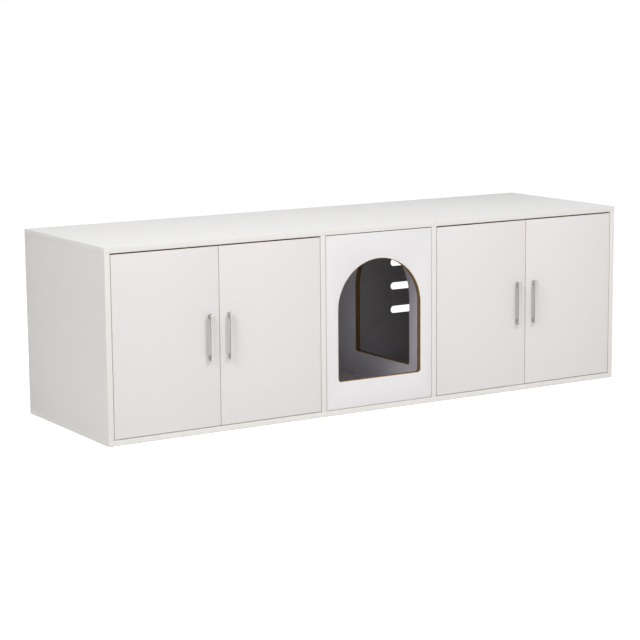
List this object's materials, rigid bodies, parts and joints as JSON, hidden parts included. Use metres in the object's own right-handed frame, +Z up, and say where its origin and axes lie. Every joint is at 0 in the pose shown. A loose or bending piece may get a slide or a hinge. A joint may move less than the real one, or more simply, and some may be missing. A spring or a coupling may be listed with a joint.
{
  "type": "cat litter box cabinet",
  "caption": "Long low cabinet with an arched cat entrance between two bays that open with pairs of inset doors; arched openings through its dividers and vent slots in its back.",
  "frame": {"origin": "centre of the flat underside of the bottom board, on the floor", "axes": "+X along the length, to the right of someone who faces the doors; +Y to the back; +Z up"},
  "size_m": [1.6, 0.496, 0.495],
  "materials": {
    "white_board": "white melamine-faced particle board, fine satin emboss; bare brown board on the arch edges",
    "back_sheet": "white-faced hardboard, matt",
    "handle_metal": "satin nickel plate",
    "hinge_steel": "bright nickel-plated pressed steel",
    "white_plastic": "moulded plastic, matt"
  },
  "bodies": {
    "carcass": {"bottom_board": "white_board", "top_board": "white_board", "left_side_board": "white_board", "right_side_board": "white_board", "left_divider": "white_board", "right_divider": "white_board", "entrance_panel": "white_board", "left_panel_cleat": "white_board", "right_panel_cleat": "white_board", "left_back_panel": "back_sheet", "centre_back_panel": "back_sheet", "right_back_panel": "back_sheet", "left_magnetic_catch": "white_plastic", "right_magnetic_catch": "white_plastic", "left_bay_left_upper_hinge_arm": "hinge_steel", "left_bay_left_upper_hinge_plate": "hinge_steel", "left_bay_left_lower_hinge_arm": "hinge_steel", "left_bay_left_lower_hinge_plate": "hinge_steel", "left_bay_right_upper_hinge_arm": "hinge_steel", "left_bay_right_upper_hinge_plate": "hinge_steel", "left_bay_right_lower_hinge_arm": "hinge_steel", "left_bay_right_lower_hinge_plate": "hinge_steel", "right_bay_left_upper_hinge_arm": "hinge_steel", "right_bay_left_upper_hinge_plate": "hinge_steel", "right_bay_left_lower_hinge_arm": "hinge_steel", "right_bay_left_lower_hinge_plate": "hinge_steel", "right_bay_right_upper_hinge_arm": "hinge_steel", "right_bay_right_upper_hinge_plate": "hinge_steel", "right_bay_right_lower_hinge_arm": "hinge_steel", "right_bay_right_lower_hinge_plate": "hinge_steel"},
    "left_bay_left_leaf": {"left_bay_left_door": "white_board", "left_bay_left_handle": "handle_metal", "left_bay_left_strike_plate": "hinge_steel", "left_bay_left_upper_hinge_cup": "hinge_steel", "left_bay_left_upper_hinge_pin": "hinge_steel", "left_bay_left_lower_hinge_cup": "hinge_steel", "left_bay_left_lower_hinge_pin": "hinge_steel"},
    "left_bay_right_leaf": {"left_bay_right_door": "white_board", "left_bay_right_handle": "handle_metal", "left_bay_right_strike_plate": "hinge_steel", "left_bay_right_upper_hinge_cup": "hinge_steel", "left_bay_right_upper_hinge_pin": "hinge_steel", "left_bay_right_lower_hinge_cup": "hinge_steel", "left_bay_right_lower_hinge_pin": "hinge_steel"},
    "right_bay_left_leaf": {"right_bay_left_door": "white_board", "right_bay_left_handle": "handle_metal", "right_bay_left_strike_plate": "hinge_steel", "right_bay_left_upper_hinge_cup": "hinge_steel", "right_bay_left_upper_hinge_pin": "hinge_steel", "right_bay_left_lower_hinge_cup": "hinge_steel", "right_bay_left_lower_hinge_pin": "hinge_steel"},
    "right_bay_right_leaf": {"right_bay_right_door": "white_board", "right_bay_right_handle": "handle_metal", "right_bay_right_strike_plate": "hinge_steel", "right_bay_right_upper_hinge_cup": "hinge_steel", "right_bay_right_upper_hinge_pin": "hinge_steel", "right_bay_right_lower_hinge_cup": "hinge_steel", "right_bay_right_lower_hinge_pin": "hinge_steel"}
  },
  "joints": [
    {"name": "left_bay_left_door_swing", "type": "hinge", "parent": "carcass", "child": "left_bay_left_leaf", "pos_m": [-0.7695, -0.2336, 0.247], "axis": [0, 0, -1], "range_deg": [0, 105]},
    {"name": "left_bay_right_door_swing", "type": "hinge", "parent": "carcass", "child": "left_bay_right_leaf", "pos_m": [-0.1985, -0.2336, 0.247], "axis": [0, 0, 1], "range_deg": [0, 105]},
    {"name": "right_bay_left_door_swing", "type": "hinge", "parent": "carcass", "child": "right_bay_left_leaf", "pos_m": [0.1985, -0.2336, 0.247], "axis": [0, 0, -1], "range_deg": [0, 105]},
    {"name": "right_bay_right_door_swing", "type": "hinge", "parent": "carcass", "child": "right_bay_right_leaf", "pos_m": [0.7695, -0.2336, 0.247], "axis": [0, 0, 1], "range_deg": [0, 105]}
  ]
}
